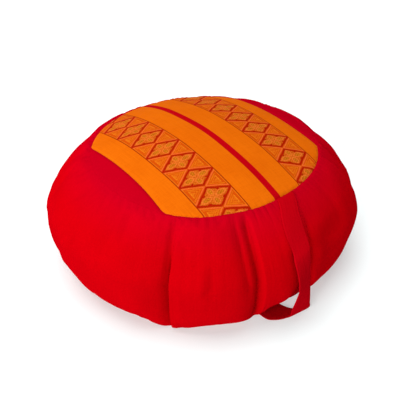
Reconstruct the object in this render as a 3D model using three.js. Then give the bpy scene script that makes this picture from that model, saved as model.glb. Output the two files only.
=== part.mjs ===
// A zafu: a round meditation cushion with a pleated side wall, a woven band sewn across its
// top between two plain segments, a disc below, and a flat carry handle at the side.
//
// Millimetres and degrees. +Z is up and the origin is the centre of the underside.
// +X runs along the stripes of the woven band, towards the handle. Plan angles turn from +X to +Y.

import * as THREE from "three";
import { mergeVertices } from "three/addons/utils/BufferGeometryUtils.js";

// The round top and its seam.
const SEAM_RADIUS = 142;
const SEAM_HEIGHT = 137;
const CROWN = 25;
const BAND_HALF_WIDTH = 116.5;

// The side wall swells from the seam to its widest line and draws in again to the foot. Above
// the widest line it is one Bezier curve; its handles are shares of the swell and of the height.
const WIDEST_HEIGHT = 71;
const UPPER_RISE = 0.3;
const UPPER_REACH = 0.36;
const UPPER_DROP = 0.12;
const LOWER_POWER = 1.85;

// Cloth and the clearances between sewn pieces.
const CLOTH = 2;
const GAP = 0.35;
const ROUND_GAP = 0.55;
// The red segments stop where they are this narrow, short of a sharp point.
const SEGMENT_TIP = 1.8;

// The swell of the wall at plan angles round the cushion: the widest radius and the foot radius.
const SIDES = [
  { angle: -122, widest: 202, foot: 174 },
  { angle: -98, widest: 203, foot: 174 },
  { angle: -75, widest: 201, foot: 168 },
  { angle: -52, widest: 198, foot: 181 },
  { angle: -36, widest: 197, foot: 172 },
  { angle: -21, widest: 196, foot: 171 },
  { angle: -11, widest: 196, foot: 157 },
  { angle: 13, widest: 197, foot: 149 },
  { angle: 48, widest: 197, foot: 163 },
  { angle: 88, widest: 201, foot: 164 },
  { angle: 115, widest: 201, foot: 165 },
  { angle: 140, widest: 193, foot: 165 },
  { angle: 168, widest: 187, foot: 163 },
  { angle: 205, widest: 190, foot: 166 },
];

// The tucks of the wall. Each has a trough that opens over `spread` degrees on one side of its
// line and a raised lip on the other; `lipSide` is +1 where the lip lies at larger angles.
// `low` and `high` are where it runs out, as shares of the wall from the foot (0) to the seam (1).
// Near the foot, where the cushion rests, all tucks are pressed flatter.
const TUCKS = [
  { angle: -128, depth: 3.5, spread: 11, lip: 1.0, lipSide: 1, low: 0.0, high: 1.0 },
  { angle: -101, depth: 2.0, spread: 12, lip: 0.5, lipSide: 1, low: 0.0, high: 0.5 },
  { angle: -72, depth: 2.0, spread: 9, lip: 0.6, lipSide: 1, low: 0.0, high: 0.55 },
  { angle: -57, depth: 2.2, spread: 6, lip: 0.6, lipSide: 1, low: 0.4, high: 1.0 },
  { angle: -48, depth: 7.0, spread: 12, lip: 2.0, lipSide: 1, low: 0.0, high: 1.0 },
  { angle: -36, depth: 1.6, spread: 6, lip: 0.4, lipSide: 1, low: 0.3, high: 0.95 },
  { angle: -25, depth: 3.0, spread: 5, lip: 1.0, lipSide: 1, low: 0.4, high: 1.0 },
  { angle: -19, depth: 7.0, spread: 6, lip: 2.5, lipSide: 1, low: 0.0, high: 1.0 },
  { angle: -3, depth: 4.5, spread: 8, lip: 0.0, lipSide: 1, low: 0.0, high: 0.9 },
  { angle: 11, depth: 6.5, spread: 15, lip: 0.8, lipSide: 1, low: 0.0, high: 1.0 },
  { angle: 25, depth: 3.0, spread: 8, lip: 0.8, lipSide: -1, low: 0.2, high: 1.0 },
  { angle: 47, depth: 6.5, spread: 10, lip: 1.5, lipSide: -1, low: 0.0, high: 1.0 },
  { angle: 79, depth: 5.0, spread: 10, lip: 1.5, lipSide: -1, low: 0.0, high: 1.0 },
  { angle: 106, depth: 5.0, spread: 9, lip: 1.5, lipSide: 1, low: 0.0, high: 1.0 },
  { angle: 137, depth: 6.0, spread: 11, lip: 1.5, lipSide: -1, low: 0.0, high: 1.0 },
  { angle: 163, depth: 3.5, spread: 8, lip: 1.0, lipSide: 1, low: 0.3, high: 1.0 },
  { angle: 188, depth: 6.0, spread: 10, lip: 1.5, lipSide: 1, low: 0.0, high: 1.0 },
  { angle: 210, depth: 4.5, spread: 9, lip: 1.2, lipSide: -1, low: 0.0, high: 0.9 },
];
// Degrees over which a lip dies away, and half the degrees in which it drops into the trough.
const LIP_SPREAD = 8;
const TUCK_STEP = 0.5;
// The share of the wall over which a tuck runs out, and its share of full depth at the foot,
// which grows to all of it at FOOT_SHARE of the wall.
const TUCK_FADE = 0.14;
const FOOT_DEPTH = 0.45;
const FOOT_SHARE = 0.35;

// The handle: a folded strip. It lies on the wall from the seam down, then hangs free, turns on
// the floor and runs back to the lower seam. Rows give its middle and its width across, which
// narrows where it is gathered into the seam. `turn` is the plan angle of its width.
const HANDLE_THICKNESS = 3;
const HANDLE_CLEARANCE = 0.8;
const HANDLE_ON_WALL = [
  { share: 0.985, angle: 7.5, width: 14 },
  { share: 0.92, angle: 5.5, width: 15 },
  { share: 0.85, angle: 3, width: 18 },
  { share: 0.76, angle: 0, width: 22 },
  { share: 0.68, angle: -2.7, width: 25 },
];
const HANDLE_HANGING = [
  { x: 195, y: -11, z: 93, turn: 97, width: 26 },
  { x: 200.5, y: -12.5, z: 83, turn: 105, width: 27 },
  { x: 204, y: -13.5, z: 72, turn: 110, width: 27 },
  { x: 204, y: -12, z: 58.5, turn: 114, width: 27 },
  { x: 201, y: -7.5, z: 41.5, turn: 114, width: 27 },
  { x: 197, y: -3, z: 26, turn: 110, width: 27 },
  { x: 192.5, y: 1, z: 12, turn: 98, width: 27 },
  { x: 189, y: 0.5, z: 3.2, turn: 91, width: 29 },
  { x: 185, y: -16, z: 1.7, turn: 98, width: 27 },
  { x: 178, y: -23, z: 1.6, turn: 104, width: 28 },
  { x: 163, y: -27, z: 1.6, turn: 101, width: 28 },
  { x: 145, y: -29, z: 1.6, turn: 84, width: 27 },
];

// Where the handle passes under the wall, the wall is lifted clear of it.
const GROOVE = { angle: -11, halfWidth: 9, fade: 5, height: 3.7, start: 143.5 };

// How finely the pieces are faceted.
const WALL_ROWS = 16;
const EVEN_COLUMNS = 60;
const CROWN_RINGS = 5;
const DISC_SIDES = 72;
const HANDLE_STEPS = 48;

const SIDE_RED = "#cc0409";
const SEGMENT_RED = "#c60314";
const HANDLE_RED = "#b8030d";
const WOVEN_ORANGE = "#ee7a12";

const { degToRad, smoothstep } = THREE.MathUtils;

// A smooth closed curve through one column of SIDES, read at any plan angle.
function sideValue(angle, column) {
  const count = SIDES.length;
  const turned = THREE.MathUtils.euclideanModulo(angle - SIDES[0].angle, 360) + SIDES[0].angle;
  let row = count - 1;
  while (SIDES[row].angle > turned) row -= 1;
  const start = SIDES[row].angle;
  const end = row + 1 < count ? SIDES[row + 1].angle : SIDES[0].angle + 360;
  const share = (turned - start) / (end - start);
  const before = SIDES[(row + count - 1) % count][column];
  const from = SIDES[row][column];
  const to = SIDES[(row + 1) % count][column];
  const after = SIDES[(row + 2) % count][column];
  const leave = (to - before) / 2;
  const arrive = (after - from) / 2;
  const bend = 2 * (from - to) + leave + arrive;
  return from + share * (leave + share * (to - from - leave - bend + share * bend));
}

// The smooth wall without tucks: share 0 is the foot, 0.5 the widest line and 1 the seam.
function swell(angle, share) {
  const widest = sideValue(angle, "widest");
  if (share < 0.5) {
    const foot = sideValue(angle, "foot");
    const turn = (1 - 2 * share) * Math.PI / 2;
    return {
      radius: foot + (widest - foot) * Math.cos(turn) ** (2 / LOWER_POWER),
      z: WIDEST_HEIGHT * (1 - Math.sin(turn) ** (2 / LOWER_POWER)),
    };
  }
  const rise = SEAM_HEIGHT - WIDEST_HEIGHT;
  const spread = widest - SEAM_RADIUS;
  const upper = new THREE.CubicBezierCurve(
    new THREE.Vector2(widest, WIDEST_HEIGHT),
    new THREE.Vector2(widest, WIDEST_HEIGHT + UPPER_RISE * rise),
    new THREE.Vector2(SEAM_RADIUS + UPPER_REACH * spread, SEAM_HEIGHT - UPPER_DROP * rise),
    new THREE.Vector2(SEAM_RADIUS, SEAM_HEIGHT),
  );
  const point = upper.getPoint(2 * share - 1);
  return { radius: point.x, z: point.y };
}

// A number that is 1 well inside `low` to `high` and fades to 0 at both.
function fadeBetween(share, low, high) {
  const rise = low > 0 ? smoothstep(share, low, low + TUCK_FADE) : 1;
  return rise * (1 - smoothstep(share, high - TUCK_FADE, high));
}

// How far the tucks push the cloth out (or in, where negative) at a point of the wall.
function tuckHeight(angle, share) {
  let height = 0;
  for (const tuck of TUCKS) {
    const away = THREE.MathUtils.euclideanModulo(angle - tuck.angle + 180, 360) - 180;
    const side = away * tuck.lipSide;
    const trough = Math.max(0, 1 + Math.min(side, 0) / tuck.spread) ** 2;
    const lip = Math.max(0, 1 - Math.max(side, 0) / LIP_SPREAD) ** 2;
    const overLip = smoothstep(side, -TUCK_STEP, TUCK_STEP);
    const profile = overLip * tuck.lip * lip - (1 - overLip) * tuck.depth * trough;
    height += profile * fadeBetween(share, tuck.low, tuck.high);
  }
  return height * (FOOT_DEPTH + (1 - FOOT_DEPTH) * smoothstep(share, 0, FOOT_SHARE));
}

// How high the wall is lifted over the handle at a plan angle.
function grooveHeight(angle) {
  const away = Math.abs(THREE.MathUtils.euclideanModulo(angle - GROOVE.angle + 180, 360) - 180);
  return GROOVE.height * (1 - smoothstep(away, GROOVE.halfWidth, GROOVE.halfWidth + GROOVE.fade));
}

function polar(angle, radius, z) {
  const turn = degToRad(angle);
  return new THREE.Vector3(radius * Math.cos(turn), radius * Math.sin(turn), z);
}

// A point of the wall, `offset` millimetres outside the smooth swell: square to the wall above
// the widest line, and level below it.
function wallPoint(angle, share, offset) {
  const here = swell(angle, share);
  const above = swell(angle, Math.min(share + 0.01, 1));
  const below = swell(angle, Math.max(share - 0.01, 0));
  const slope = Math.hypot(above.radius - below.radius, above.z - below.z);
  const upper = share > 0.5;
  const outward = upper ? (above.z - below.z) / slope : 1;
  const upward = upper ? (below.radius - above.radius) / slope : 0;
  return polar(angle, here.radius + offset * outward, here.z + offset * upward);
}

// The height of the top's outer face at a distance from the middle.
function crownHeight(radius) {
  return SEAM_HEIGHT + CROWN * (1 - (radius / SEAM_RADIUS) ** 2);
}

// Collects rings of points and the faces between them, and gives one closed geometry.
class Skin {
  constructor() {
    this.points = [];
    this.faces = [];
  }

  ring(points) {
    const start = this.points.length;
    this.points.push(...points);
    return points.map((point, index) => start + index);
  }

  // Faces between two rings of the same length. `loop` joins each ring's end to its start.
  bridge(lower, upper, loop) {
    const steps = loop ? lower.length : lower.length - 1;
    for (let i = 0; i < steps; i += 1) {
      const next = (i + 1) % lower.length;
      this.faces.push(lower[i], lower[next], upper[next]);
      this.faces.push(lower[i], upper[next], upper[i]);
    }
  }

  // Faces from a closed ring to one point.
  fan(ring, apex) {
    const [tip] = this.ring([apex]);
    for (let i = 0; i < ring.length; i += 1) {
      this.faces.push(ring[i], ring[(i + 1) % ring.length], tip);
    }
  }

  geometry() {
    const geometry = new THREE.BufferGeometry();
    const values = this.points.flatMap((point) => point.toArray());
    geometry.setAttribute("position", new THREE.Float32BufferAttribute(values, 3));
    geometry.setIndex(this.faces);
    return mergeVertices(geometry);
  }
}

function piece(name, geometry, color) {
  geometry.computeVertexNormals();
  const material = new THREE.MeshStandardMaterial({ color, roughness: 0.85, metalness: 0 });
  const mesh = new THREE.Mesh(geometry, material);
  mesh.name = name;
  return mesh;
}

// The plan angles of the wall's columns: an even spread, and four more across each tuck.
function wallColumns() {
  const angles = [];
  for (let i = 0; i < EVEN_COLUMNS; i += 1) angles.push(-180 + 360 * i / EVEN_COLUMNS);
  for (const tuck of TUCKS) {
    const line = THREE.MathUtils.euclideanModulo(tuck.angle + 180, 360) - 180;
    for (const away of [-tuck.spread / 2, -TUCK_STEP, TUCK_STEP, LIP_SPREAD / 3]) {
      angles.push(line + away * tuck.lipSide);
    }
  }
  angles.sort((a, b) => a - b);
  return angles.filter((angle, i) => i === 0 || angle - angles[i - 1] > TUCK_STEP);
}

// The filled body: wall, filling, and the beds in which the top pieces and the disc lie.
function cushionBody() {
  const skin = new Skin();
  const angles = wallColumns();
  const discBedHeight = CLOTH + GAP;
  const crownBed = CLOTH + ROUND_GAP;
  const round = (radius, z) => skin.ring(angles.map((angle) => polar(angle, radius, z)));

  const discBed = round(SEAM_RADIUS, discBedHeight);
  const underside = skin.ring(angles.map((angle) => polar(angle, GROOVE.start, grooveHeight(angle))));
  const rings = [discBed, round(SEAM_RADIUS, 0), underside];
  for (let row = 0; row <= WALL_ROWS; row += 1) {
    const share = row / WALL_ROWS;
    rings.push(skin.ring(angles.map((angle) => {
      const point = wallPoint(angle, share, tuckHeight(angle, share));
      point.z = Math.max(point.z, grooveHeight(angle));
      return point;
    })));
  }
  for (let step = 0; step < CROWN_RINGS; step += 1) {
    const radius = SEAM_RADIUS * (1 - step / CROWN_RINGS);
    rings.push(round(radius, crownHeight(radius) - crownBed));
  }
  for (let i = 1; i < rings.length; i += 1) skin.bridge(rings[i - 1], rings[i], true);
  skin.fan(rings[rings.length - 1], new THREE.Vector3(0, 0, crownHeight(0) - crownBed));
  skin.fan([...discBed].reverse(), new THREE.Vector3(0, 0, discBedHeight));
  return piece("cushion_body", skin.geometry(), SIDE_RED);
}

// A sheet of cloth on the crown. `at(u, v)` gives its plan point for shares of its length and width.
function crownSheet(name, color, columns, rows, at) {
  const skin = new Skin();
  const layers = [0, CLOTH].map((drop) => {
    const lines = [];
    for (let row = 0; row <= rows; row += 1) {
      const line = [];
      for (let column = 0; column <= columns; column += 1) {
        const [x, y] = at(column / columns, row / rows);
        line.push(new THREE.Vector3(x, y, crownHeight(Math.hypot(x, y)) - drop));
      }
      lines.push(skin.ring(line));
    }
    return lines;
  });
  const [top, bottom] = layers;
  for (let row = 0; row < rows; row += 1) {
    skin.bridge(top[row], top[row + 1], false);
    skin.bridge(bottom[row + 1], bottom[row], false);
  }
  const border = (lines) => [
    ...lines[0],
    ...lines.slice(1, -1).map((line) => line[columns]),
    ...[...lines[rows]].reverse(),
    ...lines.slice(1, -1).map((line) => line[0]).reverse(),
  ];
  skin.bridge(border(bottom), border(top), true);
  return piece(name, skin.geometry(), color);
}

// The woven band: straight long edges and round ends.
function wovenPanel() {
  return crownSheet("woven_top_panel", WOVEN_ORANGE, 16, 16, (u, v) => {
    const y = BAND_HALF_WIDTH * (2 * v - 1);
    const halfLength = Math.sqrt((SEAM_RADIUS - ROUND_GAP) ** 2 - y ** 2);
    return [halfLength * (2 * u - 1), y];
  });
}

// A plain segment between the band and the seam; `side` is -1 or +1 along Y.
function topSegment(name, side) {
  const radius = SEAM_RADIUS - ROUND_GAP;
  const inner = BAND_HALF_WIDTH + GAP;
  const halfLength = Math.sqrt(radius ** 2 - (inner + SEGMENT_TIP) ** 2);
  return crownSheet(name, SEGMENT_RED, 16, 3, (u, v) => {
    const x = halfLength * (2 * u - 1);
    const outer = Math.sqrt(radius ** 2 - x ** 2);
    const y = inner + v * (outer - inner);
    return [side * x, side * y];
  });
}

function bottomDisc() {
  const radius = SEAM_RADIUS - ROUND_GAP;
  const geometry = new THREE.CylinderGeometry(radius, radius, CLOTH, DISC_SIDES);
  geometry.rotateX(Math.PI / 2);
  geometry.translate(0, 0, CLOTH / 2);
  geometry.deleteAttribute("normal");
  geometry.deleteAttribute("uv");
  return piece("bottom_disc", mergeVertices(geometry), SEGMENT_RED);
}

// The handle's rows: those on the wall worked out from it, then those that hang free.
function handleRows() {
  const onWall = HANDLE_ON_WALL.map(({ share, angle, width }) => ({
    centre: wallPoint(angle, share, HANDLE_CLEARANCE + HANDLE_THICKNESS / 2),
    turn: angle + 90,
    width,
  }));
  const hanging = HANDLE_HANGING.map(({ x, y, z, turn, width }) => ({
    centre: new THREE.Vector3(x, y, z),
    turn,
    width,
  }));
  return [...onWall, ...hanging];
}

// The handle's section, as shares of its half width and half thickness.
const HANDLE_SECTION = [
  [1, -0.4], [1, 0.4], [0.92, 1], [0, 1], [-0.92, 1],
  [-1, 0.4], [-1, -0.4], [-0.92, -1], [0, -1], [0.92, -1],
];
function carryHandle() {
  const rows = handleRows();
  const path = new THREE.CatmullRomCurve3(rows.map((row) => row.centre));
  const form = new THREE.CatmullRomCurve3(rows.map((row) => new THREE.Vector3(row.turn, row.width)));
  const skin = new Skin();
  const rings = [];
  for (let step = 0; step <= HANDLE_STEPS; step += 1) {
    const share = step / HANDLE_STEPS;
    const centre = path.getPoint(share);
    const { x: turn, y: width } = form.getPoint(share);
    const across = polar(turn, 1, 0);
    const outward = new THREE.Vector3().crossVectors(across, path.getTangent(share)).normalize();
    rings.push(skin.ring(HANDLE_SECTION.map(([wide, thick]) => centre.clone()
      .addScaledVector(across, wide * width / 2)
      .addScaledVector(outward, thick * HANDLE_THICKNESS / 2))));
  }
  for (let i = 1; i < rings.length; i += 1) skin.bridge(rings[i], rings[i - 1], true);
  skin.fan(rings[0], path.getPoint(0));
  skin.fan([...rings[HANDLE_STEPS]].reverse(), path.getPoint(1));
  return piece("carry_handle", skin.geometry(), HANDLE_RED);
}

const zafu = new THREE.Group();
zafu.add(
  cushionBody(),
  wovenPanel(),
  topSegment("top_segment_left", -1),
  topSegment("top_segment_right", 1),
  bottomDisc(),
  carryHandle(),
);

export default zafu;
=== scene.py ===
# A zafu: a round meditation cushion with a pleated red side wall, a woven band sewn across its
# top between two plain segments, a disc below, and a flat carry handle at the side.
#
# Metres and degrees, in the frame of the CAD model: +Z is up, the origin is the centre of the
# underside, and +X runs along the stripes of the woven band, towards the handle.

import math

import bpy
import numpy as np
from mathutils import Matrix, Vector


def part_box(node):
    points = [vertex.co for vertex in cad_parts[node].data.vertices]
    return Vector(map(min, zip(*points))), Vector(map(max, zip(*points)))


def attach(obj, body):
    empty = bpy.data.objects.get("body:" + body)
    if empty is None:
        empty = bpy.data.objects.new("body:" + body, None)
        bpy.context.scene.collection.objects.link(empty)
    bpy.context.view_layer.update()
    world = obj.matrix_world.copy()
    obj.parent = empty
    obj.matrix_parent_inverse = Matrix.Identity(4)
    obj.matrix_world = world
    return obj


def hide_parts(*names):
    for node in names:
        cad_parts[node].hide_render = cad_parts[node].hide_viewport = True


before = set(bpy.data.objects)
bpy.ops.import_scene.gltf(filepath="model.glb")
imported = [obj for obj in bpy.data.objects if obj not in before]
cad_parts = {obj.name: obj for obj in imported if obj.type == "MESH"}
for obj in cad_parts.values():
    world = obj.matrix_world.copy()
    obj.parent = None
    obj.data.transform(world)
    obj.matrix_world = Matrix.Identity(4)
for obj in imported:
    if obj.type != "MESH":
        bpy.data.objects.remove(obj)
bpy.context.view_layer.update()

MM = 0.001


def table(text):
    """Rows of numbers under the names of their columns, as a list of dictionaries."""
    names, *rows = [line.split() for line in text.strip().splitlines()]
    return [dict(zip(names, map(float, row))) for row in rows]


PANEL_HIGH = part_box("woven_top_panel")[1]
DISC_LOW, DISC_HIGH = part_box("bottom_disc")

# The round top and its seam. The round sheets stop a little inside the seam.
ROUND_GAP = 0.55 * MM
SHEET_RADIUS = DISC_HIGH.x
SEAM_RADIUS = SHEET_RADIUS + ROUND_GAP
CLOTH = DISC_HIGH.z - DISC_LOW.z
SEAM_HEIGHT = 137 * MM
CROWN = PANEL_HIGH.z - SEAM_HEIGHT
BAND_HALF_WIDTH = PANEL_HIGH.y
# The band's near and far edges run this much inside the middle of the seam allowance.
BAND_INSET = {-1: 1.9 * MM, 1: 0.3 * MM}
GAP = 0.35 * MM
SEGMENT_TIP = 1.8 * MM

# A place up the wall is a share: 0 is the foot, 0.5 the widest line and 1 the seam. The upper
# profile is one Bezier curve, the lower one part of a superellipse whose power changes.
WIDEST_HEIGHT = 71 * MM
WIDEST_RADIUS = 198 * MM
UPPER_RISE = 0.3
UPPER_REACH = 0.36
UPPER_DROP = 0.12
SLOPE_STEP = 0.01

# The swell of the wall at plan angles round the cushion, in millimetres.
SIDES = table("""
angle widest  foot power
 -122    201   169   2.3
  -98  202.5 168.5   2.3
  -75    199 161.5   2.3
  -63    199   166   2.3
  -52    198   179   2.3
  -44  197.5   174   2.3
  -36    197   164   2.3
  -29  196.5 162.5   2.3
  -21    196   167  2.25
-16.5    196   161   2.1
  -11    196   142     2
    3  196.5   144     2
   13    197 146.5     2
   30    198   151  2.15
   45    197   156   2.3
   60  193.5   155   2.3
   73  196.5   156   2.3
   90  201.5   157   2.3
  115  198.5   157   2.3
  140  187.5   158   2.3
  168  179.5   154   2.3
  205    188   160   2.3
""")

# The tucks of the wall. Each has a trough that opens over `spread` degrees on one side of its
# line and a raised lip, in millimetres, that falls over `reach` degrees on the other; `side` is
# +1 where the lip lies at larger angles. The line stands at `angle` half way up and leans by
# `lean` degrees from the foot to the seam. `crisp` is 1 for a sharp fold and 0 for a soft one, and
# `top` is the part that is left at the seam. `low` and `high` are the shares where it runs out.
TUCKS = table("""
angle lean depth spread lip reach side crisp  top  low high
 -127    0     3     12 0.8     8    1     0  0.6    0    1
 -101    0   1.4     12 0.4     8    1     0    0    0  0.6
  -48  0.5  12.5     15 0.3     4    1     1 0.25    0    1
-21.6   -5   3.6      8 0.1     2    1   0.3  0.8 0.42    1
-17.6 -2.5    15      9   1     8    1   0.6  0.6 0.06    1
    0  -21   8.5     13   0     5    1     0    0    0 0.74
   -1   22   8.5      8   0     4   -1  0.25    0    0  0.9
   47   -2   6.5     13 1.2     8   -1   0.6  0.5  0.2    1
   79    1   4.5     10 1.2    10   -1   0.6  0.5    0    1
  106   -2     5     11 1.5    12    1   0.9  0.5    0    1
  137    3     5     11 1.5    11   -1   0.7  0.6    0    1
  163   -4     3      9   1     8    1   0.3  0.8  0.3    1
  188    2   5.5     11 1.5    12    1   0.9  0.5    0    1
  212   -2   3.5     10   1     9   -1   0.4  0.6    0  0.9
""")
# Half the degrees in which a crisp lip drops into its trough, and what a soft one adds.
CRISP_STEP = 0.3
SOFT_STEP = 2.2
# A trough is a wide slope and a narrow dip beside the line.
TROUGH_POWER = 1.8
DIP_PART = 0.35
DIP_SPREAD = 0.17
# Over what share a tuck or crease runs out, and from where on a tuck fades to its `top`.
TUCK_FADE = 0.14
TOP_FROM = 0.55
# The part of a tuck that is left at the foot, and the share from which it is whole.
FOOT_DEPTH = 0.2
FOOT_SHARE = 0.3
# A crisp lip leans over its trough by this much, within this many degrees of its edge, and hides
# a narrow cleft.
LIP_OVERHANG = 2.0 * MM
LIP_EDGE = 2.4
CLEFT_DEPTH = 3.5 * MM
CLEFT_WIDTH = 0.45

# The full lobes of filling between tucks, with their height in millimetres and the part of the
# way from `start` to `end` at which each is fullest. LOBE_SHARES is where they start, are full,
# fall off and end.
LOBES = table("""
start end height peak
  -98 -48    1.5  0.6
  -48 -20      4  0.5
-17.6  12    4.2 0.42
   19  47    1.6 0.65
   47  79    0.8  0.6
   79 106    2.5 0.45
  106 137      3  0.5
  137 188    1.8 0.55
  188 233      2  0.5
""")
LOBE_SHARES = (0.02, 0.4, 0.6, 1)

# Shallow, soft creases: `depth` in millimetres, `width` and `angle` in degrees. A negative depth is a
# ridge.
CREASES = table("""
angle depth width  low high
 -133   0.8   1.6  0.1  0.6
 -117   0.4   1.4  0.5 0.95
 -109   0.5   1.2  0.1 0.45
  -94   0.3   1.2 0.15  0.6
  -86   0.3     1 0.35  0.8
-78.3   0.9   0.8 0.22  0.5
-72.5   0.3   0.8  0.4 0.85
  -67   0.9   0.8 0.16 0.45
  -62   0.6     1    0  0.3
-58.7   0.9   0.7 0.08 0.38
-57.6 -0.35   0.8  0.5 0.95
  -53   0.3   1.2 0.55    1
  -43   0.4   1.2 0.25 0.95
-37.5  -0.7   1.4  0.3    1
-34.4   0.5   0.7  0.5    1
-31.6  -0.3   0.6  0.3 0.85
-15.5   0.7   0.7    0 0.42
-13.4   0.5   0.6    0 0.34
   -9   0.3   1.4 0.45 0.95
   13   4.5     7  0.3 0.76
   22     3    10  0.3 0.76
   24   0.5   1.8  0.5    1
   32   0.6   1.6  0.3 0.85
   39   0.6   1.4    0  0.5
   58   0.8   1.2  0.4    1
   67   0.7   1.4  0.1  0.7
   92   0.9   1.2  0.3    1
   98   0.6     1    0  0.4
  121   0.9   1.3  0.2  0.9
  129   0.6     1  0.5    1
  150   0.8   1.3    0  0.6
  174   0.9   1.2  0.4    1
  198   0.7   1.2  0.1  0.8
  219   0.8   1.3  0.3    1
""")

# Slow unevenness of the filling: waves round and up the wall, and their height in millimetres.
# The part LUMP_LEFT remains under the handle: LUMP_CALM is its plan angle, and how far from it
# the change starts and ends.
LUMPS = table("""
around   up height start
     5  0.7    0.9    20
     9 -1.3    0.6   130
    14  2.1   0.45   250
    23 -2.6   0.28    70
""")
LUMP_SHARES = (0, 0.3, 0.85, 1)
LUMP_LEFT = 0.25
LUMP_CALM = (0, 12, 24)

# How far the top seam is pushed out, or drawn in where the handle is sewn, in millimetres. The
# pull dies away towards the middle of the top and down the wall.
SEAM_PULLS = table("""
angle  out
  -90    0
  -70    1
  -52  4.4
  -38  4.2
  -26  0.6
  -12 -0.8
    2 -3.2
   18 -2.8
   35 -0.2
   52  1.2
   72  0.2
  100 -0.4
  130 -1.6
  158 -3.2
  182 -3.4
  212 -0.8
  240    0
""")
PULL_FROM = 75 * MM
PULL_TO = 192 * MM
PULL_LOW = 60 * MM
PULL_HIGH = 105 * MM

# The filling swells the wall as cloth under pressure, simulated on a grid of the wall. The seam
# and the foot are held, and the tucks partly, within `width` degrees of their lines. No point
# moves by more than the cap, and none where the handle lies and the wall is smooth, round the
# first angle of FILLING_FREE: the move sets in between the other two from it.
FILLING = {"columns": 240, "rows": 44, "pressure": 4.0, "spare": 0.02, "frames": 20, "quality": 6}
FILLING_TUCK = {"width": 2.2, "held": 0.7}
FILLING_CAP = 4.0 * MM
FILLING_FREE = (12, 34, 46)

# The wall's fine mesh: its columns as ranges in degrees, with finer steps across the lines of
# crisp tucks and beside the handle, and its rows, which crowd at the seam.
COLUMNS = (-180, 180, 0.7)
TUCK_COLUMNS = (-1.6, 1.61, 0.2)
TUCK_CRISP = 0.5
HANDLE_COLUMNS = (-16, 10, 0.25)
COLUMN_LEAST = 0.15
WALL_ROWS = {"lower": 42, "upper": 46, "seam": 16, "under": 14}
SEAM_ROWS_FROM = 0.95
SEAM_ROWS_POWER = 1.5
# The rings of the hidden beds under the top and on the disc, as parts of the seam's radius.
BED_RINGS = (1, 0.97, 0.8, 0.6, 0.4, 0.2)

# The seams: how far the cloth is drawn in, and over what distance, at the band and at the plain
# segments, and how far past the band's corners the one changes to the other.
BAND_SEAM = {"depth": 1.3 * MM, "reach": 1.7 * MM}
PLAIN_SEAM = {"depth": 0.2 * MM, "reach": 1.3 * MM}
SEAM_POWER = 1.3
SEAM_CHANGE = (-6 * MM, 4 * MM)
# The small gathers of the round seam: how far each strays, as a part of the step between them,
# and the least and most of its width in degrees, depth and reach.
GATHER_COUNT = 118
GATHER_SEED = 7
GATHER_STRAY = 0.7
GATHER_WIDTH = (0.45, 0.95)
GATHER_DEPTH = (0.25 * MM, 0.8 * MM)
GATHER_REACH = (5 * MM, 18 * MM)

# The sheets on the crown: the part of the gathers that shows in them, their faint waves, how far
# these keep from the edges, and the gap to the bed below.
CROWN_RUFFLE = 0.6
CROWN_WAVES = {"height": 0.35 * MM, "x": 61, "y": 47}
WAVES_INSET = 8 * MM
BED_GAP = 0.1 * MM
LEAST_CLOTH = 0.3 * MM
# Their grids: how many points, and how much these crowd at the ends.
PANEL_ALONG = (186, 0.9)
PANEL_ACROSS = (156, 0.9)
SEGMENT_ALONG = (150, 0.94)
SEGMENT_ACROSS = 30
# The bottom disc: its rings as parts of its radius, the step between its columns in degrees, the
# part of the gathers that shows in it, and its least thickness.
DISC_RINGS = (0.02, 0.2, 0.4, 0.6, 0.75, 0.87, 0.94, 0.97, 0.985, 0.995, 1)
DISC_STEP = 1.5
DISC_RUFFLE = 0.5
DISC_LEAST = 0.6 * MM

# The handle: a folded strip that lies on the wall from the seam down, then hangs, turns on the
# floor and runs back to the lower seam. `turn` is the plan angle of its width. HANDLE_RISE is
# how far its middle lies above the wall.
HANDLE_THICKNESS = 2.2 * MM
HANDLE_RISE = HANDLE_THICKNESS / 2 + 0.4 * MM
HANDLE_ON_WALL = table("""
share angle width
0.992   3.8    26
 0.92     2    27
 0.85  -0.4    27
 0.76  -2.1    26
 0.68  -2.4    24
""")
HANDLE_HANGING = table("""
    x     y    z  turn width
  195   -11   93    97    26
200.5 -12.5   83   105    27
  204 -13.5   72   110    27
203.9 -11.8 58.5 109.5    27
200.1    -8 41.5   103  28.5
  196  -4.3   26  96.5  29.5
192.3  -1.2   11    89  29.5
191.6  -1.5  2.6  85.5    30
188.2 -10.5  1.7    91  28.5
182.8 -19.2  1.6    95    29
  175   -25  1.6   100    31
  164   -27  1.6   101    31
  145   -28  1.6    95    28
""")
# Its mesh, the power that rounds its edges, the groove along each edge where it is stitched, and
# the part of its thickness at the seam, which grows to the whole over the first steps.
HANDLE_STEPS = 220
HANDLE_PLACES = 25
EDGE_POWER = 10
STITCH = {"inset": 3.0 * MM, "depth": 0.3 * MM, "width": 0.9 * MM}
SEWN_STEPS = 9
SEWN_THICKNESS = 0.4
# The shares between which the handle leaves the wall, how much lower each step of the hanging
# part is taken to be, and at how many places across it the wall is measured.
HELD_FROM = 0.6
HELD_TO = 0.86
HELD_STEP = 0.06
HELD_PLACES = 9

# Where the handle passes under the wall, the wall is lifted clear of it, round a plan angle, up
# to the first distance from it and down to the second.
GROOVE = (-9.5, 9, 18)
GROOVE_HEIGHT = 3.7 * MM

# The woven cloth: half widths across the band from its middle line, and the diamonds' repeat.
STRIPE_HALF = 4.4 * MM
DIAMONDS_FROM = 37.4 * MM
DIAMONDS_TO = 87.2 * MM
BORDER_LINE = 0.7 * MM
PITCH = 33.46 * MM
PITCH_START = 2.9 * MM
PITCH_SKEW = 0.061
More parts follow.
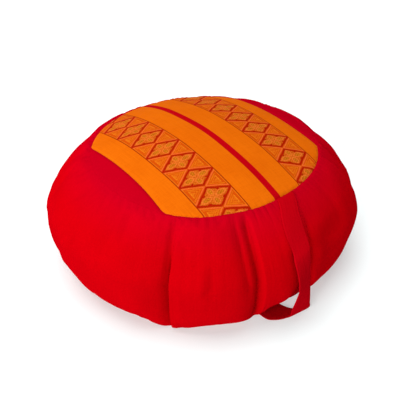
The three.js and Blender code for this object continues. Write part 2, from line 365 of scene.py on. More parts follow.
# The steps of the weave in which the figures are drawn, the length of the diamonds as a part of
# their repeat, the beads that fill the figures, and the ribs of the cloth.
WEFT_STEP = 1.5 * MM
WARP_STEP = 1.0 * MM
DIAMOND_LENGTH = 0.87
BEAD = 0.2
RIB_ALONG = 0.75 * MM
RIB_ACROSS = 0.5 * MM
# The petals in a diamond: how far out their middle lies, and their half length and half width.
PETAL_ALONG = {"middle": 6.6 * MM, "length": 6.6 * MM, "width": 4.4 * MM}
PETAL_ACROSS = {"middle": 10.0 * MM, "length": 8.6 * MM, "width": 4.4 * MM}

# Plain cotton: the width of a thread, and how high the finest relief of all cloth stands.
THREAD = 0.55 * MM
RELIEF = 0.35 * MM
# Painted light on the side near the top seam: a crimson tint for the light from above, then painted
# shade at the seam itself. How far below it each change starts, and the colour at the seam.
SEAM_PAINTED_SHADE = [
    {"reach": 60 * MM, "colour": "#d20019"},
    {"reach": 17 * MM, "colour": "#c9001b"},
]

# How many times brighter than a white surface needs the studio light is.
STUDIO_LIGHT = 1.35
# The studio's walls are white up to this height, as the sine of an elevation, and dark above.
HORIZON = 0.13
HORIZON_FADE = 0.11
CEILING = 0.07
FLOOR_HALF = 6.0
FLOOR_HEIGHT = -0.4 * MM

CAMERA_PLACE = (0.5704, -0.4311, 0.5673)
CAMERA_TARGET = (-0.0028, -0.0038, 0.0543)
CAMERA_LENS = 59.5


# ------ numbers and curves

def smoothstep(value, low, high):
    share = np.clip((value - low) / (high - low), 0, 1)
    return share * share * (3 - 2 * share)


def hump(value, start, high, fall, end):
    """0 outside `start` to `end`, and 1 between `high` and `fall`."""
    return smoothstep(value, start, high) * (1 - smoothstep(value, fall, end))


def half_turned(angle):
    """The same angle between -180 and 180 degrees."""
    return (angle + 180) % 360 - 180


def away_from(middle, start, end, angle):
    """0 within `start` degrees of a plan angle, and 1 from `end` degrees on."""
    return smoothstep(np.abs(half_turned(angle - middle)), start, end)


def curve_weights(t):
    """The weights of four neighbours in a row in a Catmull-Rom curve, `t` past the second."""
    return (
        t * (2 * t - t * t - 1) / 2,
        1 + t * t * (3 * t - 5) / 2,
        t * (1 + 4 * t - 3 * t * t) / 2,
        t * t * (t - 1) / 2,
    )


def curve_round(rows, angle, column):
    """A smooth closed curve through one column of a table of plan angles."""
    starts = np.array([row["angle"] for row in rows])
    values = np.array([row[column] for row in rows])
    turned = (angle - starts[0]) % 360 + starts[0]
    row = np.searchsorted(starts, turned, side="right") - 1
    ends = np.append(starts[1:], starts[0] + 360)
    weights = curve_weights((turned - starts[row]) / (ends[row] - starts[row]))
    return sum(weight * values[(row + i - 1) % len(rows)] for i, weight in enumerate(weights))


def curve_through(points, steps):
    """A centripetal Catmull-Rom curve through the points, and its directions, at steps + 1 places."""
    points = np.array(points)
    padded = np.vstack([2 * points[0] - points[1], points, 2 * points[-1] - points[-2]])
    places = np.linspace(0, len(points) - 1, steps + 1)
    found, ways = [], []
    for place in places:
        i = min(int(place), len(points) - 2)
        a, b, c, d = padded[i:i + 4]
        ab, bc, cd = (max(np.linalg.norm(q - p), 1e-9) ** 0.5 for p, q in ((a, b), (b, c), (c, d)))
        leave = ((b - a) / ab - (c - a) / (ab + bc) + (c - b) / bc) * bc
        arrive = ((c - b) / bc - (d - b) / (bc + cd) + (d - c) / cd) * bc
        t = place - i
        bend = 2 * (b - c) + leave + arrive
        turn = 3 * (c - b) - 2 * leave - arrive
        found.append(b + t * (leave + t * (turn + t * bend)))
        ways.append(leave + t * (2 * turn + 3 * t * bend))
    lengths = np.linalg.norm(ways, axis=1, keepdims=True)
    return np.array(found), np.array(ways) / np.maximum(lengths, 1e-9)


def spaced(count, ease):
    """Places from -1 to 1 that crowd at both ends as `ease` nears 1."""
    turn = math.pi / 2 * ease
    return np.sin(np.linspace(-1, 1, count) * turn) / math.sin(turn)


def polar(angle, radius, height):
    turn = np.radians(angle)
    return np.stack(np.broadcast_arrays(radius * np.cos(turn), radius * np.sin(turn), height), -1)


# ------ the form of the wall

def swell(angle, share):
    """Radius and height of the smooth wall."""
    widest = curve_round(SIDES, angle, "widest") * MM
    foot = curve_round(SIDES, angle, "foot") * MM
    part = 2 / curve_round(SIDES, angle, "power")
    turn = np.clip(1 - 2 * share, 0, 1) * math.pi / 2
    low_radius = foot + (widest - foot) * np.cos(turn) ** part
    low_height = WIDEST_HEIGHT * (1 - np.sin(turn) ** part)

    t = np.clip(2 * share - 1, 0, 1)
    rise = SEAM_HEIGHT - WIDEST_HEIGHT
    spread = widest - SEAM_RADIUS
    weights = (1 - t) ** 3, 3 * t * (1 - t) ** 2, 3 * t * t * (1 - t), t ** 3
    radii = widest, widest, SEAM_RADIUS + UPPER_REACH * spread, SEAM_RADIUS
    heights = (
        WIDEST_HEIGHT,
        WIDEST_HEIGHT + UPPER_RISE * rise,
        SEAM_HEIGHT - UPPER_DROP * rise,
        SEAM_HEIGHT,
    )
    high_radius = sum(w * r for w, r in zip(weights, radii))
    high_height = sum(w * h for w, h in zip(weights, heights))
    lower = share < 0.5
    return np.where(lower, low_radius, high_radius), np.where(lower, low_height, high_height)


def fade_along(share, row):
    """1 well inside `low` to `high`, and 0 at both; a `low` of 0 doesn't fade."""
    start = row["low"] or -TUCK_FADE
    return hump(share, start, start + TUCK_FADE, row["high"] - TUCK_FADE, row["high"])


def from_tuck(tuck, angle, share):
    """How many degrees past the line of a tuck a place lies."""
    return half_turned(angle - tuck["angle"] - tuck["lean"] * (share - 0.5))


def tuck_form(angle, share):
    """How far the tucks push the cloth out, and how far they slide it sideways, in metres."""
    height = np.zeros(np.broadcast(angle, share).shape)
    slide = np.zeros_like(height)
    for tuck in TUCKS:
        left = 1 - (1 - tuck["top"]) * smoothstep(share, TOP_FROM, 1)
        crisp = tuck["crisp"] * left
        step = CRISP_STEP + SOFT_STEP * (1 - crisp)
        side = from_tuck(tuck, angle, share) * tuck["side"]
        slope = np.maximum(0, 1 + np.minimum(side, 0) / tuck["spread"]) ** TROUGH_POWER
        dip = np.exp(-(side / (DIP_SPREAD * tuck["spread"])) ** 2)
        trough = (1 - DIP_PART) * slope + DIP_PART * dip
        lip = np.maximum(0, 1 - np.maximum(side, 0) / tuck["reach"]) ** 2
        over_lip = smoothstep(side, -step, step)
        profile = over_lip * tuck["lip"] * lip - (1 - over_lip) * tuck["depth"] * trough
        cleft = crisp * CLEFT_DEPTH * np.exp(-((side + CRISP_STEP) / CLEFT_WIDTH) ** 2)
        along = fade_along(share, tuck) * left
        height += (profile * MM - cleft) * along
        edge = np.maximum(0, 1 - np.abs(side) / LIP_EDGE) * smoothstep(side, -CRISP_STEP, CRISP_STEP)
        slide -= tuck["side"] * edge * along * LIP_OVERHANG * crisp
    pressed = FOOT_DEPTH + (1 - FOOT_DEPTH) * smoothstep(share, 0, FOOT_SHARE)
    return height * pressed, slide * pressed


def lobe_height(lobe, angle):
    middle = (lobe["start"] + lobe["end"]) / 2
    half = (lobe["end"] - lobe["start"]) / 2
    way = np.clip((half_turned(angle - middle) / half + 1) / 2, 0, 1)
    skew = math.log(0.5) / math.log(lobe["peak"])
    return lobe["height"] * MM * np.sin(math.pi * way ** skew)


def crease_depth(crease, angle, share):
    away = half_turned(angle - crease["angle"]) / crease["width"]
    return crease["depth"] * MM * np.exp(-away ** 2) * fade_along(share, crease)


def lump_height(lump, angle, share):
    phase = np.radians(lump["around"] * angle + lump["start"]) + 2 * math.pi * lump["up"] * share
    return lump["height"] * MM * np.sin(phase)


def sewn_offset(angle, share):
    """How far the cloth as sewn lies outside the smooth swell, and how far it is slid sideways."""
    tuck, slide = tuck_form(angle, share)
    lobes = sum(lobe_height(lobe, angle) for lobe in LOBES) * hump(share, *LOBE_SHARES)
    creases = sum(crease_depth(crease, angle, share) for crease in CREASES)
    lumps = sum(lump_height(lump, angle, share) for lump in LUMPS) * hump(share, *LUMP_SHARES)
    lumps = lumps * (LUMP_LEFT + (1 - LUMP_LEFT) * away_from(*LUMP_CALM, angle))
    return tuck + lobes - creases + lumps, slide


def wall_offset(angle, share):
    """The same for the filled cloth."""
    offset, slide = sewn_offset(angle, share)
    return offset + filled_form(angle, share), slide


def wall_point(angle, share, offset, slide=0.0):
    """A point of the wall `offset` outside the smooth swell, slid sideways by `slide`."""
    radius, height = swell(angle, share)
    above_radius, above_height = swell(angle, np.minimum(share + SLOPE_STEP, 1))
    below_radius, below_height = swell(angle, np.maximum(share - SLOPE_STEP, 0))
    slope = np.hypot(above_radius - below_radius, above_height - below_height)
    upper = share > 0.5
    outward = np.where(upper, (above_height - below_height) / slope, 1)
    upward = np.where(upper, (below_radius - above_radius) / slope, 0)
    turned = angle + np.degrees(slide / radius)
    return polar(turned, radius + offset * outward, height + offset * upward)


def pulled(points):
    """The same points, moved in or out with the pulls of the top seam."""
    points = np.array(points, float)
    radius = np.hypot(points[..., 0], points[..., 1])
    angle = np.degrees(np.arctan2(points[..., 1], points[..., 0]))
    near = hump(radius, PULL_FROM, SEAM_RADIUS, SEAM_RADIUS, PULL_TO)
    near *= smoothstep(points[..., 2], PULL_LOW, PULL_HIGH)
    out = curve_round(SEAM_PULLS, angle, "out") * MM * near / np.maximum(radius, MM)
    points[..., :2] *= 1 + out[..., None]
    return points


def crown_height(radius):
    return SEAM_HEIGHT + CROWN * (1 - (radius / SEAM_RADIUS) ** 2)


# ------ meshes

class Shell:
    """Points and the faces between them, with a place on the flat cloth for each face's corners."""

    def __init__(self):
        self.points = []
        self.faces = []
        self.cloth = []

    def add(self, points):
        """Adds an array of points, and returns their indices in its shape."""
        start = sum(len(block) for block in self.points)
        points = pulled(points)
        self.points.append(points.reshape(-1, 3))
        return start + np.arange(points.size // 3).reshape(points.shape[:-1])

    def quads(self, indices, cloth):
        """Faces over a grid of indices. `cloth` holds a place for each of them."""
        this, other = slice(None, -1), slice(1, None)
        corners = (this, this), (this, other), (other, other), (other, this)
        self.faces.append(np.stack([indices[c] for c in corners], -1).reshape(-1, 4))
        self.cloth.append(np.stack([cloth[c] for c in corners], -2).reshape(-1, 2))

    def fan(self, ring, tip, cloth):
        """Triangles from a closed ring of indices to one point."""
        tips = np.full(len(ring), self.add([tip])[0])
        self.faces.append(np.stack([ring, np.roll(ring, -1), tips], -1))
        places = [cloth, np.roll(cloth, -1, axis=0), np.broadcast_to(cloth.mean(axis=0), cloth.shape)]
        self.cloth.append(np.stack(places, -2).reshape(-1, 2))

    def body(self, grid, cloth, first, last):
        """A closed body over rings of points, with one point that closes each end."""
        rows = self.add(grid)
        self.quads(closed_ring(rows), cloth)
        self.fan(rows[0][::-1], first, cloth[0, :-1][::-1])
        self.fan(rows[-1], last, cloth[-1, :-1])

    def mesh(self, name):
        mesh = bpy.data.meshes.new(name)
        faces = [face for block in self.faces for face in block.tolist()]
        mesh.from_pydata(np.vstack(self.points).tolist(), [], faces)
        layer = mesh.uv_layers.new(name="cloth")
        layer.uv.foreach_set("vector", np.vstack(self.cloth).astype(np.float32).ravel())
        mesh.shade_smooth()
        mesh.update()
        return mesh


def way_along(points):
    """How far each row of a grid of points lies from the first, along the grid."""
    steps = np.linalg.norm(np.diff(points, axis=0), axis=-1)
    return np.insert(np.cumsum(steps, axis=0), 0, 0, axis=0)


def closed_ring(values):
    """The grid with its first column repeated at its end."""
    return np.concatenate([values, values[:, :1]], axis=1)


def placed(name, data):
    """A new object of the scene that shows some mesh, light or camera."""
    obj = bpy.data.objects.new(name, data)
    bpy.context.collection.objects.link(obj)
    return obj


def piece(name, shell, material, node):
    """A piece of the cushion, which stands for a node of the CAD model."""
    obj = placed(name, shell.mesh(name))
    obj.data.materials.append(material)
    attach(obj, "root")
    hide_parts(node)
    return obj


# ------ the filling

def simulated(obj, held):
    """The object's points after some frames as cloth under pressure, with the `held` group pinned.
    The cloth is larger than its mesh by the spare part."""
    cloth = obj.modifiers.new("cloth", "CLOTH")
    cloth.settings.quality = FILLING["quality"]
    cloth.settings.shrink_min = -FILLING["spare"]
    cloth.settings.use_pressure = True
    cloth.settings.uniform_pressure_force = FILLING["pressure"]
    cloth.settings.vertex_group_mass = held
    cloth.settings.effector_weights.gravity = 0
    cloth.collision_settings.use_collision = False
    cloth.point_cache.frame_end = FILLING["frames"]
    for moment in range(1, FILLING["frames"] + 1):
        bpy.context.scene.frame_set(moment)
    found = obj.evaluated_get(bpy.context.evaluated_depsgraph_get()).data
    points = np.empty(len(found.vertices) * 3, np.float32)
    found.vertices.foreach_get("co", points)
    bpy.context.scene.frame_set(1)
    return points.reshape(-1, 3).astype(float)


def filled_wall():
    """How far the filling pushes out each point of a grid of the wall, from the simulation."""
    columns, count = FILLING["columns"], FILLING["rows"]
    angles = np.linspace(-180, 180, columns + 1)[None, :-1]
    shares = np.linspace(0, 1, count)[:, None]
    offset, _ = sewn_offset(angles, shares)
    sewn = wall_point(angles, shares, offset)
    start = pulled(sewn)
    outward = pulled(wall_point(angles, shares, offset + MM)) - start
    outward /= np.linalg.norm(outward, axis=-1, keepdims=True)
    shell = Shell()
    rows = closed_ring(shell.add(sewn))
    shell.quads(rows, np.zeros(rows.shape + (2,)))
    mesh = shell.mesh("filled_wall")
    obj = placed("filled_wall", mesh)

    hold = np.zeros((count, columns))
    for tuck in TUCKS:
        away = from_tuck(tuck, angles, shares) / FILLING_TUCK["width"]
        along = fade_along(shares, tuck)
        hold = np.maximum(hold, FILLING_TUCK["held"] * np.exp(-away ** 2) * along)
    hold[0] = hold[-1] = 1
    group = obj.vertex_groups.new(name="held")
    for index, weight in enumerate(hold.ravel().tolist()):
        group.add([index], weight, "REPLACE")

    moved = simulated(obj, "held").reshape(start.shape)
    bpy.data.objects.remove(obj)
    bpy.data.meshes.remove(mesh)
    push = np.sum((moved - start) * outward, axis=-1)
    push -= push.mean(axis=1, keepdims=True)
    return np.clip(push, -FILLING_CAP, FILLING_CAP)


def filled_form(angle, share):
    """The push of the filling between the points of its grid, by a smooth curve each way."""
    columns, count = FILLING["columns"], FILLING["rows"]
    angle, share = np.broadcast_arrays(angle, share)
    total = np.zeros(angle.shape)
    across = (angle + 180) % 360 * columns / 360
    up = np.clip(share, 0, 1) * (count - 1)
    column = np.floor(across).astype(int)
    row = np.floor(up).astype(int)
    for i, weight in enumerate(curve_weights(across - column)):
        for j, other in enumerate(curve_weights(up - row)):
            value = FILLED[np.clip(row + j - 1, 0, count - 1), (column + i - 1) % columns]
            total += weight * other * value
    return total * away_from(*FILLING_FREE, angle)


# ------ the side wall

def seam_gathers(angle, distance):
    """Small uneven gathers that run a short way down the wall from a seam."""
    draw = np.random.RandomState(GATHER_SEED)
    height = np.zeros(np.broadcast(angle, distance).shape)
    for i in range(GATHER_COUNT):
        middle = 360 * (i + draw.uniform(0, GATHER_STRAY)) / GATHER_COUNT
        width = draw.uniform(*GATHER_WIDTH)
        depth = draw.uniform(*GATHER_DEPTH)
        reach = draw.uniform(*GATHER_REACH)
        away = half_turned(angle - middle) / width
        height -= depth * np.exp(-away ** 2) * np.exp(-(distance / reach) ** 2)
    return height


def edge_drop(distance, seam):
    """How far the cloth is drawn in near a seam."""
    return seam["depth"] * np.exp(-(np.maximum(distance, 0) / seam["reach"]) ** SEAM_POWER)


def round_seam_drop(angle, distance):
    """How far the cloth is drawn in at the round seam: more along the band's ends."""
    beside_band = SEAM_RADIUS * np.abs(np.sin(np.radians(angle))) - BAND_HALF_WIDTH + BAND_INSET[-1]
    plain = smoothstep(beside_band, *SEAM_CHANGE)
    return edge_drop(distance, BAND_SEAM) * (1 - plain) + edge_drop(distance, PLAIN_SEAM) * plain


def wall_angles():
    """Plan angles of the wall's columns: even, and closer together where it is finely shaped."""
    across = np.arange(*TUCK_COLUMNS)
    fine = [tuck["angle"] + across for tuck in TUCKS if tuck["crisp"] > TUCK_CRISP]
    angles = np.concatenate([np.arange(*COLUMNS), *fine, np.arange(*HANDLE_COLUMNS)])
    angles = np.sort(half_turned(angles))
    kept = [angles[0]]
    for angle in angles[1:]:
        if angle - kept[-1] > COLUMN_LEAST:
            kept.append(angle)
    return np.array(kept)


def wall_shares():
    """Shares of the wall's rows, closest together at the seam."""
    lower = np.linspace(0, 0.5, WALL_ROWS["lower"])
    upper = np.linspace(0.5, SEAM_ROWS_FROM, WALL_ROWS["upper"])[1:]
    left = np.linspace(1, 0, WALL_ROWS["seam"])[1:] ** SEAM_ROWS_POWER
    return np.concatenate([lower, upper, 1 - (1 - SEAM_ROWS_FROM) * left])


def cushion_body(material):
    angles = wall_angles()[None, :]
    shares = wall_shares()[:, None]
    up = way_along(np.dstack(swell(angles, shares)))
    to_seam = up[-1:] - up

    offset, slide = wall_offset(angles, shares)
    foot_offset = offset[:1]
    offset = offset + seam_gathers(angles, to_seam) - round_seam_drop(angles, to_seam)
    wall = wall_point(angles, shares, offset, slide)

    lift = GROOVE_HEIGHT * (1 - away_from(*GROOVE, angles))
    foot = curve_round(SIDES, angles, "foot") * MM
    inward = np.linspace(0, 1, WALL_ROWS["under"])[:, None]
    under_radius = SEAM_RADIUS + (foot - SEAM_RADIUS) * inward
    under_offset = foot_offset * inward
    ripple = -seam_gathers(angles, under_radius - SEAM_RADIUS)
    under_height = np.maximum(lift * (inward > 0), ripple)
    under = polar(angles, under_radius + under_offset, under_height)[:-1]
    wall[..., 2] = np.maximum(wall[..., 2], lift)

    bed_radii = SEAM_RADIUS * np.array(BED_RINGS)[:, None]
    crown_bed = CLOTH + ROUND_GAP
    top_bed = polar(angles, bed_radii[1:], crown_height(bed_radii[1:]) - crown_bed)
    disc_bed = polar(angles, bed_radii[::-1], CLOTH + GAP)

    grid = np.vstack([disc_bed, under, wall, top_bed])
    around = np.broadcast_to(np.radians(angles) * WIDEST_RADIUS, grid.shape[:2])
    along = way_along(grid)
    along -= along[len(disc_bed) + len(under) + len(wall) - 1]
    cloth = closed_ring(np.dstack([around, along]))
    cloth[:, -1, 0] += 2 * math.pi * WIDEST_RADIUS

    shell = Shell()
    shell.body(grid, cloth, (0, 0, CLOTH + GAP), (0, 0, crown_height(0) - crown_bed))
    obj = piece("cushion_wall", shell, material, "cushion_body")


# ------ the top and the disc

def grid_border(grid):
    """The grid's outermost values in order, from the first round to the first again."""
    return np.concatenate([grid[0, :-1], grid[:-1, -1], grid[-1, :0:-1], grid[:0:-1, 0], grid[0, :1]])


def crown_sheet(name, x, y, to_side, material, node):
    """A closed sheet on the crown over a grid of places, each `to_side` from a straight seam."""
    radius = np.hypot(x, y)
    angle = np.degrees(np.arctan2(y, x))
    to_round = SHEET_RADIUS - radius
    ruffle = CROWN_RUFFLE * seam_gathers(angle, 2 * np.maximum(to_round, 0))
    drop = np.maximum(round_seam_drop(angle, to_round), edge_drop(to_side, BAND_SEAM))
    waves = np.sin(x * CROWN_WAVES["x"] + 1) * np.sin(y * CROWN_WAVES["y"] + 2)
    inside = 1 - np.exp(-(np.minimum(to_round, to_side) / WAVES_INSET) ** 2)
    top_height = crown_height(radius) - drop + ruffle + CROWN_WAVES["height"] * waves * inside
    bed_height = crown_height(radius) - CLOTH - BED_GAP
    top = np.dstack([x, y, top_height])
    bottom = np.dstack([x, y, np.minimum(bed_height, top_height - LEAST_CLOTH)])

    shell = Shell()
    upper, lower = shell.add(top), shell.add(bottom)
    cloth = pulled(top)[..., :2]
    shell.quads(upper, cloth)
    shell.quads(lower[::-1], cloth[::-1])
    edges = np.stack([grid_border(lower), grid_border(upper)])
    shell.quads(edges, np.stack([grid_border(cloth)] * 2))
    return piece(name, shell, material, node)


def woven_panel(material):
    near_edge = BAND_INSET[-1] - BAND_HALF_WIDTH
    far_edge = BAND_HALF_WIDTH - BAND_INSET[1]
    width = far_edge - near_edge
    across = spaced(*PANEL_ACROSS)[:, None]
    along = spaced(*PANEL_ALONG)[None, :]
    y = near_edge + width * (across + 1) / 2 + 0 * along
    x = np.sqrt(SHEET_RADIUS ** 2 - y ** 2) * along
    to_side = np.minimum(y - near_edge, far_edge - y)
    obj = crown_sheet("woven_panel", x, y, to_side, material, "woven_top_panel")


def top_segment(name, side, material):
    """A plain segment between the band and the round seam; `side` is -1 or +1 along Y."""
    inner = BAND_HALF_WIDTH - BAND_INSET[side] + GAP
    half_length = math.sqrt(SHEET_RADIUS ** 2 - (inner + SEGMENT_TIP) ** 2)
    across = smoothstep(np.linspace(0, 1, SEGMENT_ACROSS), 0, 1)[:, None]
    x = half_length * spaced(*SEGMENT_ALONG)[None, :] + 0 * across
    y = inner + across * (np.sqrt(SHEET_RADIUS ** 2 - x ** 2) - inner)
    obj = crown_sheet(name, side * x, side * y, y - inner, material, "top_" + name)


def bottom_disc(material):
    rings = SHEET_RADIUS * np.array(DISC_RINGS)[:, None]
    angles = np.arange(-180, 180, DISC_STEP)[None, :]
    to_seam = SHEET_RADIUS - rings
    lift = edge_drop(to_seam, PLAIN_SEAM) - DISC_RUFFLE * seam_gathers(angles, to_seam)
    low = polar(angles, rings, np.clip(lift, 0, CLOTH - DISC_LEAST))
    grid = np.vstack([low, polar(angles, rings[::-1], CLOTH)])
    shell = Shell()
    shell.body(grid, closed_ring(grid[..., :2]), (0, 0, 0), (0, 0, CLOTH))
    obj = piece("base_disc", shell, material, "bottom_disc")


# ------ the handle

def held_strip(wide, level):
    """Points of the handle bent over the wall under it, and how far each step is held to it."""
    rows = [(row["angle"] / 100, row["share"], 0) for row in HANDLE_ON_WALL]
    last_angle, last_share, _ = rows[-1]
    for i in range(len(HANDLE_HANGING)):
        rows.append((last_angle, max(last_share - (i + 1) * HELD_STEP, 0), 0))
    places, _ = curve_through(rows, HANDLE_STEPS)
    angle, share = places[:, :1] * 100, places[:, 1:2]
    turned = angle + np.degrees(wide / swell(angle, share)[0])
    clear = wall_offset(turned, share)[0] + HANDLE_RISE
    held = smoothstep(share[..., None], HELD_FROM, HELD_TO)
    return wall_point(turned, share, clear + level), held


def handle_frame():
    """Along the handle: its middle, the ways across and through it, and its half width."""
    centres, forms = [], []
    for row in HANDLE_ON_WALL:
        half = math.degrees(row["width"] * MM / 2 / WIDEST_RADIUS)
        under = row["angle"] + np.linspace(-half, half, HELD_PLACES)
        rise = wall_offset(under, row["share"])[0].max() + HANDLE_RISE
        centres.append(wall_point(row["angle"], row["share"], rise))
        forms.append((row["angle"] + 90, row["width"], 0))
    for row in HANDLE_HANGING:
        centres.append(np.array([row["x"], row["y"], row["z"]]) * MM)
        forms.append((row["turn"], row["width"], 0))
    middle, way = curve_through(centres, HANDLE_STEPS)
    form, _ = curve_through(forms, HANDLE_STEPS)
    turn = np.radians(form[:, 0])
    across = np.stack([np.cos(turn), np.sin(turn), 0 * turn], -1)
    through = np.cross(across, way)
    through /= np.linalg.norm(through, axis=1, keepdims=True)
    return middle, across, through, form[:, 1] * MM / 2


def handle_strip(material):
    middle, across, through, half = handle_frame()
    side = spaced(HANDLE_PLACES, 1)
    face = np.sqrt(np.clip(1 - np.abs(side) ** EDGE_POWER, 0, 1))
    wide = side * half[:, None]
    inset = np.abs(half[:, None] - np.abs(wide) - STITCH["inset"])
    groove = STITCH["depth"] * np.exp(-(inset / STITCH["width"]) ** 2)
    sewn = smoothstep(np.arange(HANDLE_STEPS + 1), 0, SEWN_STEPS)[:, None]
    thick = face * HANDLE_THICKNESS / 2 - groove
    thick = thick * (SEWN_THICKNESS + (1 - SEWN_THICKNESS) * sewn)

    def surface(level):
        flat = middle[:, None] + across[:, None] * wide[..., None]
        flat = flat + through[:, None] * level[..., None]
        bent, held = held_strip(wide, level)
        return flat + held * (bent - flat)

    front, back = surface(thick), surface(-thick)
    ring = np.concatenate([front, back[:, -2:0:-1]], axis=1)
    around = np.concatenate([wide, 2 * half[:, None] - wide[:, -2:0:-1]], axis=1)
    along = way_along(middle)[:, None] + 0 * around
    cloth = closed_ring(np.dstack([around, along]))
    cloth[:, -1, 0] = 3 * half
    shell = Shell()
    shell.body(ring[::-1], cloth[::-1], middle[-1], middle[0])
    obj = piece("handle_strip", shell, material, "carry_handle")
    flat = (2 * half.mean(), along[-1, 0])


# ------ values over a surface

def feed(socket, value):
    """Links a socket to a field, or sets it to a constant."""
    if isinstance(value, Field):
        value.tree.links.new(value.socket, socket)
    else:
        socket.default_value = value


def maths(tree, operation, *values):
    node = tree.nodes.new("ShaderNodeMath")
    node.operation = operation
    for socket, value in zip(node.inputs, values):
        feed(socket, value)
    return Field(tree, node.outputs[0])


def operator(operation):
    """A method of Field that puts it, and what it is given, through a math node."""
    return lambda field, *others: maths(field.tree, operation, field, *others)


class Field:
    """A value or a colour that varies over a surface: the output of a node, with arithmetic."""

    __add__ = __radd__ = operator("ADD")
    __mul__ = __rmul__ = operator("MULTIPLY")
    __sub__ = operator("SUBTRACT")
    __truediv__ = operator("DIVIDE")
    __abs__ = operator("ABSOLUTE")
    least = operator("MINIMUM")
    most = operator("MAXIMUM")
    power = operator("POWER")
    snap = operator("SNAP")

    def __init__(self, tree, socket):
        self.tree = tree
        self.socket = socket

    def __rsub__(self, other):
        return maths(self.tree, "SUBTRACT", other, self)

    def wave(self, length):
        """Rises and falls between 0 and 1 once in each length."""
        return maths(self.tree, "PINGPONG", self, length / 2) / (length / 2)

    def above(self, edge, soft):
        """0 below the edge and 1 above it, with a soft change between."""
        node = self.tree.nodes.new("ShaderNodeMapRange")
        node.interpolation_type = "SMOOTHSTEP"
        feed(node.inputs["Value"], self)
        node.inputs["From Min"].default_value = edge - soft
        node.inputs["From Max"].default_value = edge + soft
        return Field(self.tree, node.outputs["Result"])

    def below(self, edge, soft):
        return 1 - self.above(edge, soft)

    def near(self, place, half, soft):
        """1 within `half` of a place, and 0 away from it."""
        return abs(self - place).below(half, soft)


def mix(factor, first, second):
    """A colour between two, each a fixed colour or another mix."""
    node = factor.tree.nodes.new("ShaderNodeMix")
    node.data_type = "RGBA"
    for place, value in (("Factor", factor), (6, first), (7, second)):
        feed(node.inputs[place], value)
    return Field(factor.tree, node.outputs[2])


def linear(colour):
    """A colour given in hexadecimal, as linear light."""
    parts = [int(colour[i:i + 2], 16) / 255 for i in (1, 3, 5)]
    return tuple(c / 12.92 if c <= 0.04045 else ((c + 0.055) / 1.055) ** 2.4 for c in parts) + (1.0,)


def dyed(colour):
    """A cloth's colour as the bright studio light shows it, given as its own colour."""
    return tuple(part / STUDIO_LIGHT for part in linear(colour)[:3]) + (1.0,)


def dyes(factor, first, second):
    """A colour between two dyes."""
    return mix(factor, dyed(first), dyed(second))


def separate(tree, socket):
    """The parts of a place, as fields."""
    node = tree.nodes.new("ShaderNodeSeparateXYZ")
    tree.links.new(socket, node.inputs[0])
    return [Field(tree, output) for output in node.outputs]


def flat_places(tree):
    """Places on the flat cloth, in metres."""
    node = tree.nodes.new("ShaderNodeUVMap")
    node.uv_map = "cloth"
    return separate(tree, node.outputs[0])[:2]


def grain(x, y, across, along, detail):
    """Noise over the flat cloth, with so many grains in a metre each way."""
    tree = x.tree
    place = tree.nodes.new("ShaderNodeCombineXYZ")
    feed(place.inputs[0], x * across)
    feed(place.inputs[1], y * along)
    node = tree.nodes.new("ShaderNodeTexNoise")
    tree.links.new(place.outputs[0], node.inputs["Vector"])
    node.inputs["Scale"].default_value = 1
    node.inputs["Detail"].default_value = detail
    return Field(tree, node.outputs["Fac"])


# ------ materials

def new_material(name, looks):
    """A rough material, with what `looks` says of its other sockets."""
    material = bpy.data.materials.new(name)
    material.use_nodes = True
    shader = material.node_tree.nodes["Principled BSDF"]
    for socket, value in {"Roughness": 0.9, "Sheen Roughness": 0.55, **looks}.items():
        shader.inputs[socket].default_value = value
    return material


def finished(material, colour, height):
    """The material with its colour and the fine relief of its cloth."""
    tree = material.node_tree
    shader = tree.nodes["Principled BSDF"]
    feed(shader.inputs["Base Color"], colour)
    node = tree.nodes.new("ShaderNodeBump")
    node.inputs["Strength"].default_value = 1.0
    node.inputs["Distance"].default_value = RELIEF
    feed(node.inputs["Height"], height)
    tree.links.new(node.outputs["Normal"], shader.inputs["Normal"])
    return material


def cotton(name, colour, shade, tint, painted_seam_shades=()):
    """Plain woven cotton: fine threads, uneven yarn, faint wrinkles and slightly patchy dyeing. Near
    the top seam, where the second place is 0, the colour may change to a painted tint and painted
    shade of the light there."""
    looks = {"Specular IOR Level": 0.0, "Sheen Weight": 0.03, "Sheen Tint": linear(tint)}
    material = new_material(name, looks)
    across, along = flat_places(material.node_tree)
    patches = grain(across, along, 22, 22, detail=3)
    yarn_along = grain(across, along, 1600, 40, detail=1)
    yarn_across = grain(across, along, 40, 1600, detail=1)
    fleck = yarn_along.above(0.62, 0.08).most(yarn_across.above(0.64, 0.08))
    cloth = dyes(patches.above(0.5, 0.22) * 0.45 + fleck * 0.3, colour, shade)
    # Painted tint and painted shade near the top seam, standing in for how the light from above falls
    # on the cloth that turns up to it.
    for seam_shade in painted_seam_shades:
        near_seam = along.above(-seam_shade["reach"] / 2, seam_shade["reach"] / 2)
        cloth = mix(near_seam, cloth, dyed(seam_shade["colour"]))
    weave = across.wave(THREAD) * 0.5 + along.wave(THREAD) * 0.5
    wrinkles = grain(across, along, 150, 45, detail=3)
    streaks = grain(across, along, 420, 14, detail=2)
    height = weave * 0.12 + wrinkles * 0.7 + streaks * 0.8 + yarn_along * 0.1 + yarn_across * 0.1
    return finished(material, cloth, height)


def petal(outward, sideways, form):
    """0 at the middle of a petal that points outward from the diamond's centre, 1 at its edge."""
    long = (outward - form["middle"]) / form["length"]
    return (long.power(2) + (sideways / form["width"]).power(2)).power(0.5)


